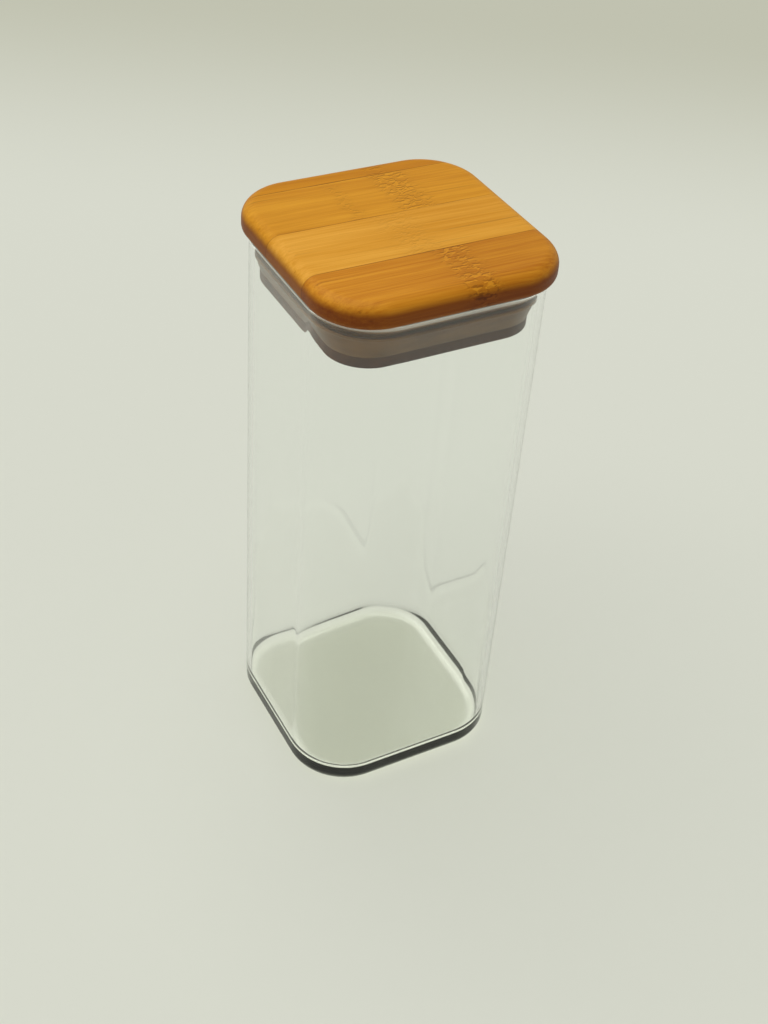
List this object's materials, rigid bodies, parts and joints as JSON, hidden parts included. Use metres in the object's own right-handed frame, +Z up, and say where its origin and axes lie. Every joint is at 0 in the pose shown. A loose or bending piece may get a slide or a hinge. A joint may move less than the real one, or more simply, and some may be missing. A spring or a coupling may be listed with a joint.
{
  "type": "spice jar",
  "caption": "Tall square clear glass storage jar with rounded corners and a push-in bamboo lid sealed by a finned silicone ring.",
  "frame": {"origin": "centre of the square footprint, on the surface the jar stands on", "axes": "+Z up along the jar, -Y the front, the lid's top strips run along X"},
  "size_m": [0.0826, 0.0826, 0.2056],
  "materials": {
    "glass": "clear, polished",
    "bamboo": "satin varnish",
    "bamboo_core": "sawn, matt",
    "silicone": "translucent, soft satin"
  },
  "bodies": {
    "jar": {"glass_jar": "glass"},
    "lid": {"lid_front_strip": "bamboo", "lid_middle_strip": "bamboo", "lid_rear_strip": "bamboo", "lid_back_edge_strip": "bamboo", "core_left_strip": "bamboo_core", "core_middle_strip": "bamboo_core", "core_right_strip": "bamboo_core", "plug_front_strip": "bamboo", "plug_middle_strip": "bamboo", "plug_rear_strip": "bamboo", "seal_ring": "silicone"}
  },
  "joints": [
    {"name": "lid_lift", "type": "slide", "parent": "jar", "child": "lid", "axis": [0, 0, 1], "range_m": [0, 0.05]}
  ]
}
